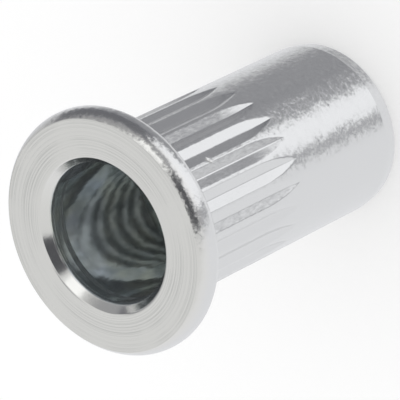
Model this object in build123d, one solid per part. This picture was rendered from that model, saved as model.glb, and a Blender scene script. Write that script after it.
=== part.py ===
from build123d import *
import os
from math import acos, cos, degrees, pi, sin

# Open-end rivet nut for an M6 x 1 thread: a flat flange, a splined crush zone and a
# plain shank that carries the thread. It is one turned and cold-formed piece.
# The axis is Z. The tail end stands on the XY plane and the flange face is on top.
# Lengths are in millimetres and angles in degrees.

# Radial sizes, from the thread outwards: each diameter is built on the one inside it.
thread_bore_diameter = 5.0  # bore before tapping, and the crest diameter of the thread
bore_step = 1.03  # from the thread bore out to the crush bore
crush_wall = 0.97  # wall that folds when the nut is set
flange_overhang = 1.8  # how far the flange stands out from the shank

# Axial sizes, from the flange face down to the tail end.
crush_depth = 7.6  # flange face to the end of the crush bore
step_height = 0.5  # cone between the crush bore and the thread bore
thread_length = 9.15  # straight wall of the thread bore
exit_chamfer = 0.55  # 45 degree chamfer where the thread leaves the tail end

# Flange rim.
flange_thickness = 1.5
rim_back_radius = 0.55  # rounding behind the rim
rim_band = 0.1  # straight part of the rim
rim_front_inset = 0.37  # from the rim in to the crisp edge of the flat face

# Mouth of the bore.
mouth_chamfer_width = 0.4  # from the bore out to the edge of the face
mouth_chamfer_depth = 0.7  # steeper than 45 degrees
mouth_relief = 0.05  # how much wider the bore is behind the chamfer
mouth_relief_depth = 1.2  # flange face to the end of the relief

# Tail end.
tail_lead_length = 0.85  # slight taper that helps the nut into its hole
tail_lead_depth = 0.13
tail_edge_radius = 0.12

# Splines: V grooves that stop the nut turning in its hole. Each one starts under the
# flange and runs out towards the tail in a leaf-shaped point, as a formed groove does.
spline_count = 24
spline_depth = 0.22
spline_land = 0.14  # width left at full diameter between two grooves
spline_overrun = 2.26  # from the end of the crush bore to the tip of the leaf
spline_runout = 2.6  # length of the leaf-shaped run-out
tool_clearance = 0.1  # how far the groove tool stands clear of the shank

# Sizes that follow.
thread_bore_radius = thread_bore_diameter / 2
crush_bore_radius = thread_bore_radius + bore_step
mouth_bore_radius = crush_bore_radius + mouth_relief
shank_radius = crush_bore_radius + crush_wall
flange_radius = shank_radius + flange_overhang

overall_length = crush_depth + step_height + thread_length + exit_chamfer
crush_end_z = overall_length - crush_depth
thread_top_z = crush_end_z - step_height
relief_end_z = overall_length - mouth_relief_depth
flange_back_z = overall_length - flange_thickness
spline_tip_z = crush_end_z - spline_overrun
runout_start_z = spline_tip_z + spline_runout


# Wall of the bore in radius and height, from the tail end up to the edge of the face.
def bore_wall():
    return Polyline(
        (thread_bore_radius + exit_chamfer, 0),
        (thread_bore_radius, exit_chamfer),
        (thread_bore_radius, thread_top_z),
        (crush_bore_radius, crush_end_z),
        (crush_bore_radius, relief_end_z - mouth_relief),
        (mouth_bore_radius, relief_end_z),
        (mouth_bore_radius, overall_length - mouth_chamfer_depth),
        (mouth_bore_radius + mouth_chamfer_width, overall_length),
        (flange_radius - rim_front_inset, overall_length),
    )


# Rim of the flange: an arc that meets the face at a crisp edge, a short straight band
# and a quarter round down to the flat back that bears on the sheet.
def flange_rim():
    face_edge = (flange_radius - rim_front_inset, overall_length)
    band_bottom = (flange_radius, flange_back_z + rim_back_radius)
    band_top = (flange_radius, flange_back_z + rim_back_radius + rim_band)
    back_edge = (flange_radius - rim_back_radius, flange_back_z)
    front = TangentArc(band_top, face_edge, tangent=(0, 1))
    band = Line(band_top, band_bottom)
    back = TangentArc(band_bottom, back_edge, tangent=(0, -1))
    return front, band, back


# Outside of the nut below the flange, from the back of the flange to the tail end.
def shank_wall():
    return Polyline(
        (flange_radius - rim_back_radius, flange_back_z),
        (shank_radius, flange_back_z),
        (shank_radius, tail_lead_length),
        (shank_radius - tail_lead_depth, 0),
        (thread_bore_radius + exit_chamfer, 0),
    )


def turned_blank():
    with BuildSketch(Plane.XZ) as section:
        with BuildLine():
            bore_wall()
            flange_rim()
            shank_wall()
        make_face()
        tail_corner = section.vertices().group_by(Axis.Y)[0].sort_by(Axis.X)[-1]
        fillet(tail_corner, tail_edge_radius)
    return revolve(section.sketch, Axis.Z)


# Section of one groove across the shank: a V whose flanks reach the shank at the edges
# of the two lands beside it, drawn on until it stands clear of the shank.
def groove_section():
    groove_width = 2 * pi * shank_radius / spline_count - spline_land
    half_angle = groove_width / shank_radius / 2
    apex_x = shank_radius - spline_depth
    edge_x = shank_radius * cos(half_angle)
    edge_y = shank_radius * sin(half_angle)
    outer_x = shank_radius + tool_clearance
    outer_y = edge_y * (outer_x - apex_x) / (edge_x - apex_x)
    vee = make_face(Polyline((apex_x, 0), (outer_x, outer_y), (outer_x, -outer_y), close=True))
    return Pos(0, 0, runout_start_z) * vee


# The groove is straight from the flange down to the start of its run-out. There the
# same V turns about a far centre outside the shank and climbs out of the metal, which
# narrows the groove to the point of the leaf.
def groove_tool():
    section = groove_section()
    straight = extrude(section, flange_back_z - runout_start_z, dir=(0, 0, 1))
    runout_radius = (spline_runout**2 + spline_depth**2) / (2 * spline_depth)
    centre_x = shank_radius - spline_depth + runout_radius
    runout_axis = Axis((centre_x, 0, runout_start_z), (0, -1, 0))
    runout_angle = degrees(acos(1 - (spline_depth + tool_clearance) / runout_radius))
    return straight + revolve(section, runout_axis, runout_angle)


def rivet_nut():
    tool = groove_tool()
    grooves = [place * tool for place in PolarLocations(0, spline_count)]
    return turned_blank() - grooves


nut = rivet_nut()
nut.label = "rivet_nut"
os.makedirs("parts", exist_ok=True)
export_step(nut, "parts/rivet_nut.step")
print(f"rivet_nut: {overall_length:.2f} long, flange {2 * flange_radius:.2f}, shank {2 * shank_radius:.2f}")
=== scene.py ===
import math
import bpy
from mathutils import Matrix, Vector


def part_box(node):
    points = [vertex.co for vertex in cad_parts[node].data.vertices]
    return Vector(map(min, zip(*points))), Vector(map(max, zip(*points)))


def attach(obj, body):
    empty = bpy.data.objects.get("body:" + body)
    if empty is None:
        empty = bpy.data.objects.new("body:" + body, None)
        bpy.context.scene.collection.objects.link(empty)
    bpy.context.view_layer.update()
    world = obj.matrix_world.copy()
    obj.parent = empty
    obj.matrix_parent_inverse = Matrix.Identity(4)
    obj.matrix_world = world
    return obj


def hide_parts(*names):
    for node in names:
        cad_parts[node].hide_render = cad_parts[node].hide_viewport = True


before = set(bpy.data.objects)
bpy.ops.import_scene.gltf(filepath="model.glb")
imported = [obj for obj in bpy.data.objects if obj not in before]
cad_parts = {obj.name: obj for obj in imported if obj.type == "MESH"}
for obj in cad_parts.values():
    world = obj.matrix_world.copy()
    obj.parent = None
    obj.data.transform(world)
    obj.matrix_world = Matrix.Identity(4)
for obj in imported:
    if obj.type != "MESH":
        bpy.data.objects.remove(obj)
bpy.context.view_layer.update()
scene = bpy.context.scene
mm = 0.001
turn = 2 * math.pi


# one output socket, so that node sums can be written as plain expressions
class Wire:
    def __init__(self, maker, socket):
        self.maker = maker
        self.socket = socket

    def __add__(self, other):
        return self.maker.maths("ADD", self, other)

    def __radd__(self, other):
        return self.maker.maths("ADD", other, self)

    def __sub__(self, other):
        return self.maker.maths("SUBTRACT", self, other)

    def __rsub__(self, other):
        return self.maker.maths("SUBTRACT", other, self)

    def __mul__(self, other):
        return self.maker.maths("MULTIPLY", self, other)

    def __rmul__(self, other):
        return self.maker.maths("MULTIPLY", other, self)

    def __truediv__(self, other):
        return self.maker.maths("DIVIDE", self, other)

    def __rtruediv__(self, other):
        return self.maker.maths("DIVIDE", other, self)

    def __pow__(self, other):
        return self.maker.maths("POWER", self, other)

    def __abs__(self):
        return self.maker.maths("ABSOLUTE", self)


# adds nodes to one shader, world or geometry tree
class TreeMaker:
    def __init__(self, tree):
        self.tree = tree

    def node(self, kind, settings=None, values=None):
        made = self.tree.nodes.new(kind)
        for name, setting in (settings or {}).items():
            setattr(made, name, setting)
        for key, value in (values or {}).items():
            self.feed(self.socketOf(made.inputs, key), value)
        return made

    def socketOf(self, sockets, key):
        if isinstance(key, int):
            return sockets[key]
        return next(s for s in sockets if s.name == key and s.enabled)

    def feed(self, socket, value):
        if isinstance(value, list):
            for wire in value:
                self.tree.links.new(wire.socket, socket)
        elif isinstance(value, Wire):
            self.tree.links.new(value.socket, socket)
        else:
            socket.default_value = value

    def out(self, kind, settings=None, values=None, output=0):
        made = self.node(kind, settings, values)
        return Wire(self, self.socketOf(made.outputs, output))

    def maths(self, operation, *values):
        return self.out("ShaderNodeMath", {"operation": operation}, dict(enumerate(values)))

    def smallest(self, a, b):
        return self.maths("MINIMUM", a, b)

    def largest(self, a, b):
        return self.maths("MAXIMUM", a, b)

    def clamp(self, value, low=0.0, high=1.0):
        return self.smallest(self.largest(value, low), high)

    # 0 before start, 1 after end, smooth between them
    def step(self, value, start, end):
        sockets = {"Value": value, "From Min": start, "From Max": end}
        return self.out("ShaderNodeMapRange", {"interpolation_type": "SMOOTHSTEP"}, sockets)

    def mixColour(self, factor, a, b):
        sockets = {"Factor": factor, "A": a, "B": b}
        return self.out("ShaderNodeMix", {"data_type": "RGBA"}, sockets, "Result")

    def vectorMaths(self, operation, *values):
        kind = {"operation": operation}
        return self.out("ShaderNodeVectorMath", kind, dict(enumerate(values)), "Vector")

    def scaled(self, vector, factor):
        sockets = {0: vector, "Scale": factor}
        return self.out("ShaderNodeVectorMath", {"operation": "SCALE"}, sockets, "Vector")

    def noise(self, place, scale, detail, rough=0.5, output=0):
        sockets = {"Vector": place, "Scale": scale, "Detail": detail, "Roughness": rough}
        return self.out("ShaderNodeTexNoise", None, sockets, output)

    def noiseAlong(self, distance, detail):
        sockets = {"W": distance, "Detail": detail}
        return self.out("ShaderNodeTexNoise", {"noise_dimensions": "1D"}, sockets)

    def parts(self, vector):
        made = self.node("ShaderNodeSeparateXYZ", None, {0: vector})
        return [Wire(self, socket) for socket in made.outputs]

    def vector(self, x, y, z):
        return self.out("ShaderNodeCombineXYZ", None, {0: x, 1: y, 2: z})


low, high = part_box("rivet_nut")

nut = {
    "flangeRadius": (high.x - low.x) / 2,
    "length": high.z - low.z,
    "flangeThickness": 1.5 * mm,
    "shankRadius": 4.5 * mm,
    "crushBoreRadius": 3.53 * mm,
    "crushDepth": 7.6 * mm,
    "stepHeight": 0.5 * mm,        # the cone between the crush bore and the thread
    "stepRound": 0.1 * mm,
    "reliefWidth": 0.05 * mm,
    "reliefDepth": 1.2 * mm,
    "reliefEase": 0.22 * mm,       # length of the relief's soft end
    "mouthWidth": 0.44 * mm,
    "mouthDepth": 0.7 * mm,
    "lipStageWidth": 0.03 * mm,    # the steep lower part of the mouth's chamfer
    "lipStageDepth": 0.5 * mm,     # where it meets the flatter upper part
    "lipRound": 0.3 * mm,
    "lipTopRound": 0.16 * mm,
    "rimInset": 0.37 * mm,
    "rimFrontDrop": 0.85 * mm,
    "rimBackRadius": 0.55 * mm,
    "tailLeadLength": 0.85 * mm,
    "tailLeadDepth": 0.13 * mm,
    "tailLeadRound": 0.4 * mm,
    "tailEdgeRadius": 0.12 * mm,
    "edgeRound": 0.05 * mm,
}

splines = {
    "count": 24,
    "depth": 0.21 * mm,
    "land": 0.14 * mm,
    "runOutTop": 10.54 * mm,
    "runOutLength": 2.6 * mm,
    "rowStep": 0.12 * mm,          # between rows in the run-out
    "straightSteps": 3,            # as many times further apart where the grooves are straight
}

thread = {
    "boreRadius": 2.5 * mm,
    "pitch": 1.0 * mm,
    "depth": 0.5413 * mm,
    "exitChamfer": 0.55 * mm,
    "crestFlat": 0.125,            # shares of the pitch: half the crest, and one flank
    "flank": 0.3125,
    "overlap": 0.05 * mm,          # how far the thread climbs into the cone
    "rowsPerPitch": 16,
    "turnsAdded": 16,              # whole turns that keep the phase above zero below the tail
}

burr = {
    "angle": -82.3,                # degrees round the shank, on the middle of a land
    "height": 13.27 * mm,
    "radius": 0.16 * mm,
    "stretch": (0.5, 1.4, 0.9),
    "lean": 0.5,                   # radians
    "raggedness": 0.8,
    "ragScale": 1.1,
    "ragDetail": 2.0,
    "subdivisions": 3,
}

meshing = {
    "columnsPerSpline": 12,
    "columnsPerFlank": 3,
    "rootHold": 0.14,              # where the columns beside a groove's root and edge stand
    "smallestSpread": 0.25,        # degrees that a groove's columns keep at its tip
    "sharpAngle": 50.0,
    "cornerSteps": 4,
    "cornerHold": 0.4,             # how far beyond a round corner the next point keeps a flat flat
    "easeSteps": 8,
    "rimFrontSteps": 14,
    "rimBackSteps": 10,
    "undersideRows": (0.75, 0.5, 0.25, 0.08),   # shares of the flat's width, from the rim inwards
    "settleRows": (0.85, 0.6, 0.3, 0.0),        # how closely each row still follows the splines
    "settleLength": 1.6 * mm,
    "tailRow": 1.0 * mm,           # the last plain row, above the tail's lead
    "mergeDistance": 0.001 * mm,
}


def arc(centre, radius, start, end, steps):
    points = []
    for i in range(steps + 1):
        angle = math.radians(start + (end - start) * i / steps)
        points.append((centre[0] + radius * math.cos(angle), centre[1] + radius * math.sin(angle)))
    return points


# replaces each inner point by a tangent arc, with a point on each side that keeps the flats flat
def roundCorners(points, radii):
    steps = meshing["cornerSteps"]
    hold = meshing["cornerHold"]
    rounded = [Vector(points[0])]
    for before, here, after, radius in zip(points, points[1:], points[2:], radii):
        corner = Vector(here)
        back = (Vector(before) - corner).normalized()
        ahead = (Vector(after) - corner).normalized()
        half = back.angle(ahead) / 2
        reach = radius / math.tan(half)
        centre = corner + (back + ahead).normalized() * radius / math.sin(half)
        first = corner + back * reach - centre
        last = corner + ahead * reach - centre
        rounded.append(corner + back * reach * (1 + hold))
        for i in range(steps + 1):
            rounded.append(centre + first.slerp(last, i / steps) * radius)
        rounded.append(corner + ahead * reach * (1 + hold))
    rounded.append(Vector(points[-1]))
    return rounded


# the inner points of a straight stretch cut into equal steps
def spaced(start, end, count):
    return [Vector(start).lerp(Vector(end), i / count) for i in range(1, count)]


# a smooth S from one radius to the next
def easedStep(start, end, count):
    points = []
    for i in range(count + 1):
        share = i / count
        eased = share * share * (3 - 2 * share)
        points.append((start[0] + (end[0] - start[0]) * eased, start[1] + (end[1] - start[1]) * share))
    return points


# rows of (radius, height, follow, cut, threaded), once round the section from the tail's bore;
# follow draws the columns to the splines, cut lets the grooves in, threaded gives a row to the thread
def outlineRows():
    top = nut["length"]
    back = top - nut["flangeThickness"]
    shank = nut["shankRadius"]
    flange = nut["flangeRadius"]
    crush = nut["crushBoreRadius"]
    relief = crush + nut["reliefWidth"]
    small = nut["edgeRound"]
    rows = []

    def add(points, follow=0.0, cut=0.0, threaded=0.0):
        for point in points:
            rows.append((point[0], point[1], follow, cut, threaded))

    # threaded bore: the rows climb one pitch a turn, so they start one pitch below the tail
    crushEnd = top - nut["crushDepth"]
    stepStart = crushEnd - nut["stepHeight"]
    stepSlope = (crush - thread["boreRadius"]) / nut["stepHeight"]
    threadTop = stepStart + (thread["depth"] + thread["overlap"]) / stepSlope
    rowStep = thread["pitch"] / thread["rowsPerPitch"]
    count = math.ceil((threadTop + thread["pitch"]) / rowStep)
    add([(0, i * rowStep - thread["pitch"]) for i in range(count + 1)], threaded=1.0)

    # crush bore, its relief and the chamfered mouth
    stepPoint = (thread["boreRadius"] + (threadTop - stepStart) * stepSlope, threadTop)
    ease = nut["reliefEase"]
    reliefEnd = top - nut["reliefDepth"] + ease / 2
    mouth = relief + nut["mouthWidth"]
    wall = [stepPoint, (crush, crushEnd), (crush, reliefEnd)]
    add(roundCorners(wall, [nut["stepRound"]])[1:-1])
    add([(crush, reliefEnd - ease - small)])
    add(easedStep((crush, reliefEnd - ease), (relief, reliefEnd), meshing["easeSteps"]))
    add([(relief, reliefEnd + small)])
    faceEdge = flange - nut["rimInset"]
    stage = (relief + nut["lipStageWidth"], top - nut["lipStageDepth"])
    lip = [(relief, reliefEnd), (relief, top - nut["mouthDepth"]), stage, (mouth, top), (faceEdge, top)]
    add(roundCorners(lip, [nut["lipRound"], nut["lipRound"], nut["lipTopRound"]])[1:-1])

    # flange rim: an arc from the face edge, a narrow band and the arc behind it
    inset = nut["rimInset"]
    drop = nut["rimFrontDrop"]
    frontRadius = (inset * inset + drop * drop) / (2 * inset)
    frontCentre = (flange - frontRadius, top - drop)
    edgeAngle = math.degrees(math.asin(drop / frontRadius))
    front = arc(frontCentre, frontRadius, edgeAngle, 0, meshing["rimFrontSteps"])
    add(roundCorners([(faceEdge - 4 * small, top), (faceEdge, top), front[1]], [small]))
    add(front[2:])
    backCentre = (flange - nut["rimBackRadius"], back + nut["rimBackRadius"])
    add(arc(backCentre, nut["rimBackRadius"], 0, -90, meshing["rimBackSteps"]))

    # underside of the flange, whose columns swing over to the splines
    reach = backCentre[0] - shank
    for share in meshing["undersideRows"]:
        add([(shank + reach * share, back)], follow=1.0 - share)

    # splined stretch and its run-out
    runEnd = splines["runOutTop"] - splines["runOutLength"]
    straightStep = splines["straightSteps"] * splines["rowStep"]
    straight = math.ceil((back - splines["runOutTop"]) / straightStep)
    add([(shank, back)], follow=1.0, cut=1.0)
    add(spaced((shank, back), (shank, splines["runOutTop"]), straight), follow=1.0, cut=1.0)
    add([(shank, splines["runOutTop"])], follow=1.0, cut=1.0)
    runRows = math.ceil(splines["runOutLength"] / splines["rowStep"])
    add(spaced((shank, splines["runOutTop"]), (shank, runEnd), runRows), follow=1.0, cut=1.0)
    add([(shank, runEnd)], follow=1.0)

    # plain shank, where the columns settle into even steps, and the tail
    for share in meshing["settleRows"]:
        add([(shank, runEnd - (1 - share) * meshing["settleLength"])], follow=share)
    leadTop = (shank, nut["tailLeadLength"])
    tailRadius = shank - nut["tailLeadDepth"]
    exitRadius = thread["boreRadius"] + thread["exitChamfer"]
    tail = [(shank, leadTop[1] + meshing["tailRow"]), leadTop, (tailRadius, 0), (exitRadius, 0)]
    add(roundCorners(tail, [nut["tailLeadRound"], nut["tailEdgeRadius"]]))
    return rows


# the rows as a chain of points, which the geometry tree reads
def outlineObject(rows):
    mesh = bpy.data.meshes.new("nutOutline")
    points = [(row[0], 0, row[1]) for row in rows]
    mesh.from_pydata(points, [(i, i + 1) for i in range(len(rows) - 1)], [])
    plan = mesh.attributes.new("plan", "FLOAT_VECTOR", "POINT")
    for i, row in enumerate(rows):
        plan.data[i].vector = row[2:5]
    made = bpy.data.objects.new("nutOutline", mesh)
    scene.collection.objects.link(made)
    return made


# turns the outline into the whole nut, with its splines, its thread and the burr
def nutTree(material):
    tree = bpy.data.node_groups.new("turnedNut", "GeometryNodeTree")
    maker = TreeMaker(tree)
    interface = tree.interface
    interface.new_socket("Geometry", in_out="INPUT", socket_type="NodeSocketGeometry")
    interface.new_socket("Geometry", in_out="OUTPUT", socket_type="NodeSocketGeometry")
    defaults = {
        "Splines": splines["count"],
        "Columns per Spline": meshing["columnsPerSpline"],
        "Shank Radius": nut["shankRadius"],
        "Spline Depth": splines["depth"],
        "Land Width": splines["land"],
        "Run-out Top": splines["runOutTop"],
        "Run-out Length": splines["runOutLength"],
        "Thread Bore Radius": thread["boreRadius"],
        "Thread Pitch": thread["pitch"],
        "Thread Depth": thread["depth"],
        "Exit Chamfer": thread["exitChamfer"],
        "Step Start": nut["length"] - nut["crushDepth"] - nut["stepHeight"],
        "Step Slope": (nut["crushBoreRadius"] - thread["boreRadius"]) / nut["stepHeight"],
        "Sharp Angle": math.radians(meshing["sharpAngle"]),
        "Burr Radius": burr["radius"],
        "Burr Height": burr["height"],
        "Burr Angle": math.radians(burr["angle"]),
    }
    for name, value in defaults.items():
        kind = "NodeSocketInt" if isinstance(value, int) else "NodeSocketFloat"
        interface.new_socket(name, in_out="INPUT", socket_type=kind).default_value = value
    given = maker.node("NodeGroupInput")
    size = {socket.name: Wire(maker, socket) for socket in given.outputs if socket.name}
    outline = size["Geometry"]

    # one grid: a row for each outline point, a column for each angle
    rows = maker.out("GeometryNodeAttributeDomainSize", None, {0: outline}, "Point Count")
    columns = size["Splines"] * size["Columns per Spline"]
    sockets = {"Vertices X": columns + 1, "Vertices Y": rows}
    grid = maker.out("GeometryNodeMeshGrid", None, sockets, "Mesh")
    index = maker.out("GeometryNodeInputIndex")
    row = maker.maths("MODULO", index, rows)
    column = maker.maths("FLOOR", (index + 0.5) / rows)
    place = maker.out("GeometryNodeInputPosition")
    vectors = {"data_type": "FLOAT_VECTOR"}
    plan = maker.out("GeometryNodeInputNamedAttribute", vectors, {"Name": "plan"})

    def atRow(value):
        sockets = {"Geometry": outline, "Value": value, "Index": row}
        return maker.out("GeometryNodeSampleIndex", vectors, sockets)

    rowRadius, _, rowHeight = maker.parts(atRow(place))
    follow, cut, threaded = maker.parts(atRow(plan))

    # splines: V grooves of one depth, whose width shrinks with their depth in the run-out
    evenAngle = column / columns * turn
    pitchAngle = turn / size["Splines"]
    landAngle = maker.maths("ARCSINE", size["Land Width"] / size["Shank Radius"] / 2)
    fullHalf = pitchAngle / 2 - landAngle
    rootShare = 1 - size["Spline Depth"] / size["Shank Radius"]
    slope = (maker.maths("COSINE", fullHalf) - rootShare) / maker.maths("SINE", fullHalf)
    runLength = size["Run-out Length"]
    runRadius = (runLength * runLength + size["Spline Depth"] ** 2.0) / (size["Spline Depth"] * 2)
    along = maker.largest(size["Run-out Top"] - rowHeight, 0.0)
    rise = runRadius - maker.maths("SQRT", maker.largest(runRadius * runRadius - along * along, 0.0))
    depth = maker.largest(size["Spline Depth"] - rise, 0.0)
    lean = maker.maths("ARCTANGENT", slope)
    tipShare = 1 - depth / size["Shank Radius"]
    half = maker.maths("ARCCOSINE", tipShare / maker.maths("SQRT", slope * slope + 1)) - lean
    spread = maker.largest(half, math.radians(meshing["smallestSpread"]))

    # a column's place within its spline: three to a flank, held close to the root and to the edge
    perSpline = size["Columns per Spline"]
    local = maker.maths("FRACT", column / perSpline + 0.5) - 0.5
    side = maker.maths("SIGN", local)
    steps = abs(local) * perSpline
    hold = meshing["rootHold"]
    flank = meshing["columnsPerFlank"]
    share = maker.clamp(steps) * hold + maker.clamp(steps - 1) * (1 - 2 * hold)
    share = share + maker.clamp(steps - 2) * hold
    onLand = maker.clamp((steps - flank) / (perSpline / 2 - flank))
    offset = share * spread + onLand * (pitchAngle / 2 - spread)
    splineAngle = evenAngle - local * pitchAngle + side * offset
    angle = evenAngle + (splineAngle - evenAngle) * follow

    # the groove's flank is a straight line in the cross-section
    away = angle - maker.maths("ROUND", angle / pitchAngle) * pitchAngle
    flankLine = maker.maths("COSINE", away) - slope * maker.maths("SINE", abs(away))
    grooveRadius = (size["Shank Radius"] - depth) / flankLine
    outer = maker.smallest(rowRadius, grooveRadius)
    plainRadius = rowRadius + (outer - rowRadius) * cut

    # thread: its rows climb one pitch a turn, and stop at the tail and at the step
    pitch = size["Thread Pitch"]
    stepTop = size["Step Start"] + (size["Thread Depth"] + thread["overlap"]) / size["Step Slope"]
    climbed = maker.clamp(rowHeight + pitch * evenAngle / turn, 0.0, stepTop)
    phase = maker.maths("FRACT", rowHeight / pitch + thread["turnsAdded"])
    form = maker.clamp((abs(phase - 0.5) - thread["crestFlat"]) / thread["flank"])
    threadRadius = size["Thread Bore Radius"] + size["Thread Depth"] * form
    exitCone = size["Thread Bore Radius"] + size["Exit Chamfer"] - climbed
    stepCone = size["Thread Bore Radius"] + (climbed - size["Step Start"]) * size["Step Slope"]
    threadRadius = maker.largest(maker.largest(threadRadius, exitCone), stepCone)

    radius = plainRadius + (threadRadius - plainRadius) * threaded
    height = rowHeight + (climbed - rowHeight) * threaded

    def onCircle(reach, turned, level):
        aside = reach * maker.maths("COSINE", turned)
        return maker.vector(aside, reach * maker.maths("SINE", turned), level)

    spot = onCircle(radius, angle, height)
    body = maker.out("GeometryNodeSetPosition", None, {"Geometry": grid, "Position": spot})
    sockets = {"Geometry": body, "Distance": meshing["mergeDistance"]}
    body = maker.out("GeometryNodeMergeByDistance", None, sockets)

    # a flake of zinc that the rolling left on one land
    sockets = {"Radius": size["Burr Radius"], "Subdivisions": burr["subdivisions"]}
    flake = maker.out("GeometryNodeMeshIcoSphere", None, sockets, "Mesh")
    ragged = maker.noise(place, burr["ragScale"] / burr["radius"], burr["ragDetail"])
    swollen = maker.scaled(place, 1 + (ragged - 0.5) * (2 * burr["raggedness"]))
    flake = maker.out("GeometryNodeSetPosition", None, {"Geometry": flake, "Position": swollen})
    sockets = {
        "Geometry": flake,
        "Translation": onCircle(size["Shank Radius"], size["Burr Angle"], size["Burr Height"]),
        "Rotation": maker.vector(burr["lean"], 0.0, size["Burr Angle"]),
        "Scale": burr["stretch"],
    }
    flake = maker.out("GeometryNodeTransform", None, sockets)
    body = maker.out("GeometryNodeJoinGeometry", None, {"Geometry": [body, flake]})

    # smooth all over, with the real corners kept crisp
    sockets = {"Geometry": body, "Shade Smooth": True}
    body = maker.out("GeometryNodeSetShadeSmooth", {"domain": "FACE"}, sockets)
    bend = maker.out("GeometryNodeInputMeshEdgeAngle", None, None, "Unsigned Angle")
    settings = {"data_type": "FLOAT", "operation": "GREATER_THAN"}
    crisp = maker.out("FunctionNodeCompare", settings, {"A": bend, "B": size["Sharp Angle"]})
    sockets = {"Geometry": body, "Selection": crisp, "Shade Smooth": False}
    body = maker.out("GeometryNodeSetShadeSmooth", {"domain": "EDGE"}, sockets)
    body = maker.out("GeometryNodeRealizeInstances", None, {"Geometry": body})
    body = maker.out("GeometryNodeSetMaterial", None, {"Geometry": body, "Material": material})
    maker.node("NodeGroupOutput", None, {"Geometry": body})
    return tree


# the plain mesh that the tree makes of its source
def meshFrom(source, tree, name):
    modifier = source.modifiers.new("build", "NODES")
    modifier.node_group = tree
    for item in tree.interface.items_tree:
        if item.in_out == "INPUT" and item.socket_type != "NodeSocketGeometry":
            modifier[item.identifier] = item.default_value
    bpy.context.view_layer.update()
    evaluated = source.evaluated_get(bpy.context.evaluated_depsgraph_get())
    mesh = bpy.data.meshes.new_from_object(evaluated)
    made = bpy.data.objects.new(name, mesh)
    scene.collection.objects.link(made)
    source.modifiers.remove(modifier)
    bpy.data.objects.remove(source)
    return made


finish = {
    "zinc": (0.80, 0.80, 0.80, 1),
    # the bore's tint is the passivation's, but its darkness against the zinc outside is painted shade
    # in the bore
    "blueAndShadeInBore": (0.60, 0.64, 0.68, 1),
    "greenAndShadeInBore": (0.655, 0.68, 0.65, 1),
    "stainInBore": (0.44, 0.475, 0.49, 1),
    "stainShare": 0.8,
    # the thread's zinc, a little darker than outside: painted shade in the bore
    "zincAndShadeInThread": (0.72, 0.76, 0.75, 1),
    "metallicInBore": 0.87,
    "metallicInThread": 0.5,
    "roughness": 0.22,
    "roughnessInBore": 0.10,
    "roughnessInThread": 0.15,
    "roughnessOnFace": 0.22,
    "roughnessOnLip": 0.15,
    "roughnessSpread": 0.05,
}

# cold-formed grain: the size of its cells in millimetres, how far they are drawn out along the
# shank (1 is not at all, less is more), and how far they tilt the surface
grain = {
    "plain": {"size": 0.24, "detail": 3.0, "rough": 0.85, "drawn": 1.0},
    "groove": {"size": 0.11, "detail": 2.0, "rough": 0.7, "drawn": 0.3},
    "tilt": 0.36,
    "onRim": 1.25,                 # shares of the tilt
    "onLip": 0.4,
    "lostInGroove": 0.68,
}

# turning rings on the face: bumps, with a darker colour along them that is painted shade in their
# grooves
rings = {
    "spacing": 0.17,
    "wander": 3.0,                 # how unevenly they are spaced
    "wanderScale": 2.3,
    "wanderDetail": 1.0,
    "depthScale": 5.0,             # some are deep and some hardly show
    "depthDetail": 2.0,
    "depthShift": 31,
    "depthFrom": 0.3,
    "depthGain": 2.5,
    "width": 0.3,
    "height": 3.2,                 # thousandths of a millimetre, as in the bore's wave
    # the darker colour along the rings and its share: painted shade
    "paintedShade": 0.8,
    "colour": (0.50, 0.51, 0.51, 1),
}

# the slow wave that the bore's mirror images show
boreWave = {"height": 14.0, "scale": 1.6, "detail": 2.0, "rough": 0.6, "drawn": 0.25}

# soft patches: their noise, and the values between which a patch sets in
patches = {
    "uneven": {"scale": 2.2, "detail": 4.0, "rough": 0.6, "shift": 3.0},
    "green": {"scale": 0.32, "detail": 2.0, "rough": 0.5, "shift": 2.0, "setsIn": (0.42, 0.6)},
    "stained": {"scale": 0.75, "detail": 4.0, "rough": 0.6, "shift": 11.0, "setsIn": (0.44, 0.62)},
    # where the rings' painted shade shows clearly
    "ringShade": {"scale": 0.4, "detail": 1.0, "rough": 0.5, "shift": 5.0, "setsIn": (0.35, 0.6)},
}

# where one surface passes into the next, in millimetres: radii and heights
seams = {
    "shankToFlange": (4.55, 4.7),
    "grooveToShank": (4.42, 4.49),
    "runOut": (7.8, 9.0),
    "threadToBore": (3.1, 3.2),
    "threadTop": (9.6, 9.8),
    "tailToBore": (0.3, 0.8),
    "boreToLip": (-0.4, -0.34),    # from here on, counted from the mouth's outer radius
    "lipStart": (-0.42, -0.3),
    "lipToFace": (0.0, 0.1),
    "faceTop": (-0.03, -0.01),     # and this one from the nut's top
}


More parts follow.
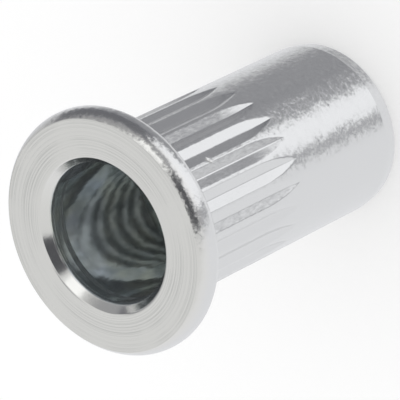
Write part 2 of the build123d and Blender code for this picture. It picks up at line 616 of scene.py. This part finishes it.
def zincMaterial():
    material = bpy.data.materials.new("brightZinc")
    material.use_nodes = True
    material.node_tree.nodes.clear()
    maker = TreeMaker(material.node_tree)
    place = maker.out("ShaderNodeTexCoord", None, None, "Object")
    inMm = maker.scaled(place, 1 / mm)
    x, y, z = maker.parts(inMm)
    radius = maker.maths("SQRT", x * x + y * y)
    top = nut["length"] / mm
    mouth = (nut["crushBoreRadius"] + nut["reliefWidth"] + nut["mouthWidth"]) / mm

    def past(value, seam, base=0.0):
        start, end = seams[seam]
        return maker.step(value, base + start, base + end)

    def cloud(name):
        patch = patches[name]
        shift = patch["shift"]
        moved = maker.vectorMaths("ADD", inMm, (shift, shift, shift))
        return maker.noise(moved, patch["scale"], patch["detail"], patch["rough"])

    def patchOf(name):
        return maker.step(cloud(name), *patches[name]["setsIn"])

    # where each surface is
    outside = past(radius, "lipToFace", mouth)
    onFace = past(z, "faceTop", top) * outside
    onLip = past(radius, "lipStart", mouth) * (1 - outside)
    inside = (1 - past(radius, "boreToLip", mouth)) * past(z, "tailToBore")
    threaded = (1 - past(radius, "threadToBore")) * (1 - past(z, "threadTop"))
    onShank = 1 - past(radius, "shankToFlange")
    inGroove = past(z, "runOut") * (1 - past(radius, "grooveToShank")) * onShank

    # turning rings on the face, and the wave in the bore
    drift = maker.noiseAlong(radius * rings["wanderScale"], rings["wanderDetail"])
    depthPlace = radius * rings["depthScale"] + rings["depthShift"]
    depth = maker.noiseAlong(depthPlace, rings["depthDetail"])
    ringPlace = maker.maths("FRACT", radius / rings["spacing"] + drift * rings["wander"])
    ring = 1 - maker.step(abs(ringPlace - 0.5), 0.0, rings["width"])
    ring = ring * maker.clamp((depth - rings["depthFrom"]) * rings["depthGain"])
    drawn = maker.vector(x, y, z * boreWave["drawn"])
    wave = maker.noise(drawn, boreWave["scale"], boreWave["detail"], boreWave["rough"])

    def grainOf(name):
        cells = grain[name]
        drawn = maker.vector(x, y, z * cells["drawn"])
        return maker.noise(drawn, 1 / cells["size"], cells["detail"], cells["rough"], "Color")

    # the grain is a small tilt of the surface to any side
    tilt = maker.mixColour(inGroove, grainOf("plain"), grainOf("groove"))
    tilt = maker.vectorMaths("SUBTRACT", tilt, (0.5, 0.5, 0.5))
    amount = outside * (grain["onRim"] - (grain["onRim"] - 1) * onShank) + onLip * grain["onLip"]
    amount = amount * (1 - onFace) * (1 - grain["lostInGroove"] * inGroove)
    tilt = maker.scaled(tilt, amount * grain["tilt"])
    facing = maker.out("ShaderNodeNewGeometry", None, None, "Normal")
    tilted = maker.vectorMaths("NORMALIZE", maker.vectorMaths("ADD", facing, tilt))
    height = wave * (boreWave["height"] * inside) - ring * (rings["height"] * onFace)
    sockets = {"Strength": 1.0, "Distance": 0.001 * mm, "Height": height, "Normal": tilted}
    bump = maker.out("ShaderNodeBump", None, sockets)

    # smoother metal inside, with greenish and stained patches on its blue; the blue and green are
    # darker than the zinc outside, which is painted shade in the bore, and the thread is a little
    # darker too
    roughness = finish["roughness"] + (finish["roughnessInBore"] - finish["roughness"]) * inside
    roughness = roughness + (finish["roughnessOnFace"] - roughness) * onFace
    roughness = roughness + (finish["roughnessOnLip"] - roughness) * onLip
    roughness = roughness + (finish["roughnessInThread"] - roughness) * threaded
    roughness = roughness + (cloud("uneven") - 0.5) * finish["roughnessSpread"]
    boreTintStainAndShade = maker.mixColour(patchOf("green"), finish["blueAndShadeInBore"], finish["greenAndShadeInBore"])
    stained = patchOf("stained") * finish["stainShare"]
    boreTintStainAndShade = maker.mixColour(stained, boreTintStainAndShade, finish["stainInBore"])
    colour = maker.mixColour(inside, finish["zinc"], boreTintStainAndShade)
    colour = maker.mixColour(threaded, colour, finish["zincAndShadeInThread"])
    # painted shade along the turning rings, clearer in some patches than in others
    ringShade = ring * onFace * patchOf("ringShade") * rings["paintedShade"]
    colour = maker.mixColour(ringShade, colour, rings["colour"])
    metallic = 1 - (1 - finish["metallicInBore"]) * inside
    metallic = metallic + (finish["metallicInThread"] - metallic) * threaded
    sockets = {"Base Color": colour, "Metallic": metallic, "Roughness": roughness, "Normal": bump}
    shader = maker.out("ShaderNodeBsdfPrincipled", None, sockets)
    maker.node("ShaderNodeOutputMaterial", None, {"Surface": shader})
    print("zinc is mixed")
    return material


view = {
    "azimuth": -5.03,
    "elevation": 45.49,
    "roll": 116.37,                    # degrees, about the camera's own axis
    "distance": 213.65 * mm,
    "aim": (-0.523 * mm, 0.046 * mm, 10.62 * mm),
    "lens": 390.2,
}

studio = {
    "level": 0.85,                     # what the metal sees where there is no panel
    "warmTint": (1.0, 1.0, 0.975, 1),
    "warmFrom": (-10.0, 30.0),         # degrees of elevation
    "coolTint": (0.985, 0.995, 1.015, 1),
    "coolBelow": (-30.0, 0.0),
    "flagTint": (0.88, 0.92, 1.18, 1),
    "flagBelow": 0.45,                 # panels darker than this turn bluish
}

floorPlan = {
    "size": 600 * mm,
    "colour": 0.8,
    "seenLevel": 1.02,                 # how light the camera sees it where nothing shades it
    "patchShare": 0.9,                 # how far out under the exit chamfer the patch reaches
    "patchLift": 0.01 * mm,
    "patchPoints": 48,
    # painted shade: the patch is greyer than the floor round it
    "patchShadeColour": (0.5, 0.5, 0.5, 1),
}

# what the metal sees round it, by azimuth and elevation in degrees; a later panel covers an earlier one
panels = {
    "ceiling": {"centre": (0, 62), "half": (200, 42), "soft": 12, "level": 0.76},
    "farSide": {"centre": (62, -16), "half": (28, 24), "soft": 12, "level": 0.74},
    "sideFade": {"centre": (32, -26), "half": (42, 36), "soft": 26, "level": 0.6},
    "edgeFill": {"centre": (76, -46), "half": (36, 18), "soft": 20, "level": 0.86},
    "sideFlag": {"centre": (-17, -26), "half": (40, 36), "soft": 14, "level": 0.34},
    "sideFlagEdge": {"centre": (-48.5, -26), "half": (20, 36), "soft": 4, "level": 0.31},
    "rimFlag": {"centre": (55, 20), "half": (20, 14), "soft": 8, "level": 0.30},
    "sideFlagCore": {"centre": (-5, -12), "half": (42, 24), "soft": 7, "level": 0.17},
    "lipFlag": {"centre": (-10, 13), "half": (26, 12), "soft": 5, "level": 0.36},
    "bridgeFlag": {"centre": (-60, 9), "half": (16, 9), "soft": 5, "level": 0.34},
    "cameraFlag": {"centre": (-101, 25), "half": (27, 17), "soft": 4, "level": 0.07},
    "overheadFlag": {"centre": (-30, 72), "half": (48, 11), "soft": 5, "level": 0.32},
    "narrowFlag": {"centre": (-114.5, -23), "half": (7.5, 31), "soft": 3.5, "level": 0.35},
    "brightCorner": {"centre": (-60, -21.5), "half": (14, 20), "soft": 4, "level": 1.05},
    "brightPanel": {"centre": (-88.15, -27), "half": (18.85, 30), "soft": 3, "level": 1.05},
    "window": {"centre": (-50, 29), "half": (14, 9), "soft": 4, "level": 1.2},
}


# the room, which only the metal's mirror images show
def studioWorld():
    world = bpy.data.worlds.new("studio")
    world.use_nodes = True
    world.node_tree.nodes.clear()
    maker = TreeMaker(world.node_tree)
    look = maker.out("ShaderNodeTexCoord", None, None, "Generated")
    x, y, z = maker.parts(look)
    azimuth = maker.maths("ARCTAN2", y, x) * (360 / turn)
    elevation = maker.maths("ARCSINE", z) * (360 / turn)
    level = studio["level"]
    for panel in panels.values():
        aside = abs(maker.maths("WRAP", azimuth - panel["centre"][0], 180.0, -180.0))
        above = abs(elevation - panel["centre"][1])
        halfWidth, halfHeight = panel["half"]
        soft = panel["soft"]
        across = 1 - maker.step(aside, halfWidth - soft, halfWidth + soft)
        upright = 1 - maker.step(above, halfHeight - soft, halfHeight + soft)
        level = level + (panel["level"] - level) * across * upright

    # all other rays see plain white
    glossy = maker.out("ShaderNodeLightPath", None, None, "Is Glossy Ray")
    strength = 1 + (level - 1) * glossy
    warm = maker.step(elevation, *studio["warmFrom"]) * glossy
    cool = (1 - maker.step(elevation, *studio["coolBelow"])) * glossy
    blue = maker.clamp(studio["flagBelow"] - level) * glossy
    tint = maker.mixColour(warm, (1, 1, 1, 1), studio["warmTint"])
    tint = maker.mixColour(cool, tint, studio["coolTint"])
    tint = maker.mixColour(blue, tint, studio["flagTint"])
    background = maker.out("ShaderNodeBackground", None, {"Color": tint, "Strength": strength})
    maker.node("ShaderNodeOutputWorld", None, {"Surface": background})
    scene.world = world


def plainFloor():
    half = floorPlan["size"] / 2
    mesh = bpy.data.meshes.new("floor")
    corners = [(-half, -half, low.z), (half, -half, low.z), (half, half, low.z), (-half, half, low.z)]
    mesh.from_pydata(corners, [], [(0, 1, 2, 3)])
    floor = bpy.data.objects.new("floor", mesh)
    scene.collection.objects.link(floor)
    floor.visible_glossy = False
    material = bpy.data.materials.new("whiteFloor")
    material.use_nodes = True
    material.node_tree.nodes.clear()
    maker = TreeMaker(material.node_tree)
    grey = floorPlan["colour"]
    matt = maker.out("ShaderNodeBsdfDiffuse", None, {"Color": (grey, grey, grey, 1)})
    seen = maker.out("ShaderNodeLightPath", None, None, "Is Camera Ray")
    glow = maker.out("ShaderNodeEmission", None, {"Strength": seen * (floorPlan["seenLevel"] - grey)})
    both = maker.out("ShaderNodeAddShader", None, {0: matt, 1: glow})
    maker.node("ShaderNodeOutputMaterial", None, {"Surface": both})
    mesh.materials.append(material)


# the patch of floor that shows through the open tail, greyer than the floor round it: painted shade
# under the nut
def boreFloor():
    mesh = bpy.data.meshes.new("boreFloor")
    radius = thread["boreRadius"] + thread["exitChamfer"] * floorPlan["patchShare"]
    level = low.z + floorPlan["patchLift"]
    count = floorPlan["patchPoints"]
    points = []
    for i in range(count):
        angle = turn * i / count
        points.append((radius * math.cos(angle), radius * math.sin(angle), level))
    mesh.from_pydata(points, [], [list(range(count))])
    patch = bpy.data.objects.new("boreFloor", mesh)
    scene.collection.objects.link(patch)
    material = bpy.data.materials.new("shadedFloor")
    material.use_nodes = True
    shader = material.node_tree.nodes["Principled BSDF"]
    shader.inputs["Base Color"].default_value = floorPlan["patchShadeColour"]
    mesh.materials.append(material)


def setCamera():
    data = bpy.data.cameras.new("camera")
    data.lens = view["lens"]
    data.clip_start = 1 * mm
    camera = bpy.data.objects.new("camera", data)
    scene.collection.objects.link(camera)
    azimuth = math.radians(view["azimuth"])
    elevation = math.radians(view["elevation"])
    flat = math.cos(elevation)
    back = Vector((math.sin(azimuth) * flat, -math.cos(azimuth) * flat, math.sin(elevation)))
    turned = back.to_track_quat("Z", "Y").to_matrix().to_4x4()
    roll = Matrix.Rotation(-math.radians(view["roll"]), 4, "Z")
    place = Matrix.Translation(Vector(view["aim"]) + back * view["distance"])
    camera.matrix_world = place @ turned @ roll
    scene.camera = camera


setCamera()
studioWorld()
plainFloor()
boreFloor()
print("stage is set")

zinc = zincMaterial()
rivetNut = meshFrom(outlineObject(outlineRows()), nutTree(zinc), "turnedNut")
print("nut:", len(rivetNut.data.vertices), "points,", len(rivetNut.data.polygons), "faces")
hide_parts("rivet_nut")
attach(rivetNut, "root")

scene.view_settings.view_transform = "Standard"
